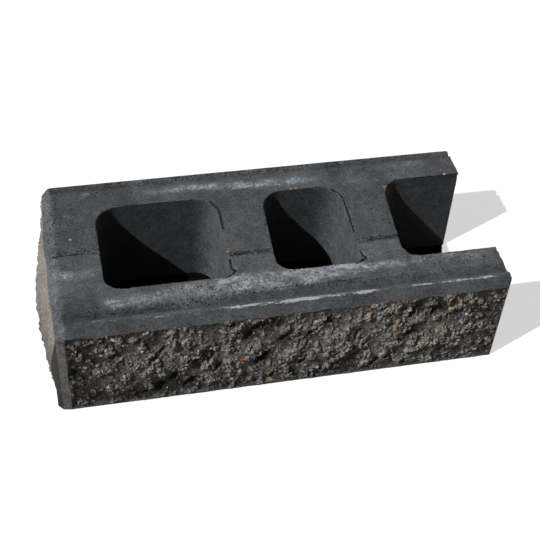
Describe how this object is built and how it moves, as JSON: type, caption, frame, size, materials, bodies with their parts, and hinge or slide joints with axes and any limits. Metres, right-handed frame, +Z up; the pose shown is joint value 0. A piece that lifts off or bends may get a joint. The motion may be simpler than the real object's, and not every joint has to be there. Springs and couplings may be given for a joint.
{
  "type": "retaining wall block",
  "caption": "Hollow cast-concrete wall block with split front and end faces, closed cells and an open end cell.",
  "frame": {"origin": "centre of the block's underside, in the middle of its overall outline", "axes": "+X along the block from the split end to the open end, +Y from the split front to the plain back, +Z up"},
  "size_m": [0.6496, 0.3038, 0.1532],
  "materials": {
    "concrete": "matte"
  },
  "bodies": {
    "root": {"block": "concrete"}
  },
  "joints": []
}
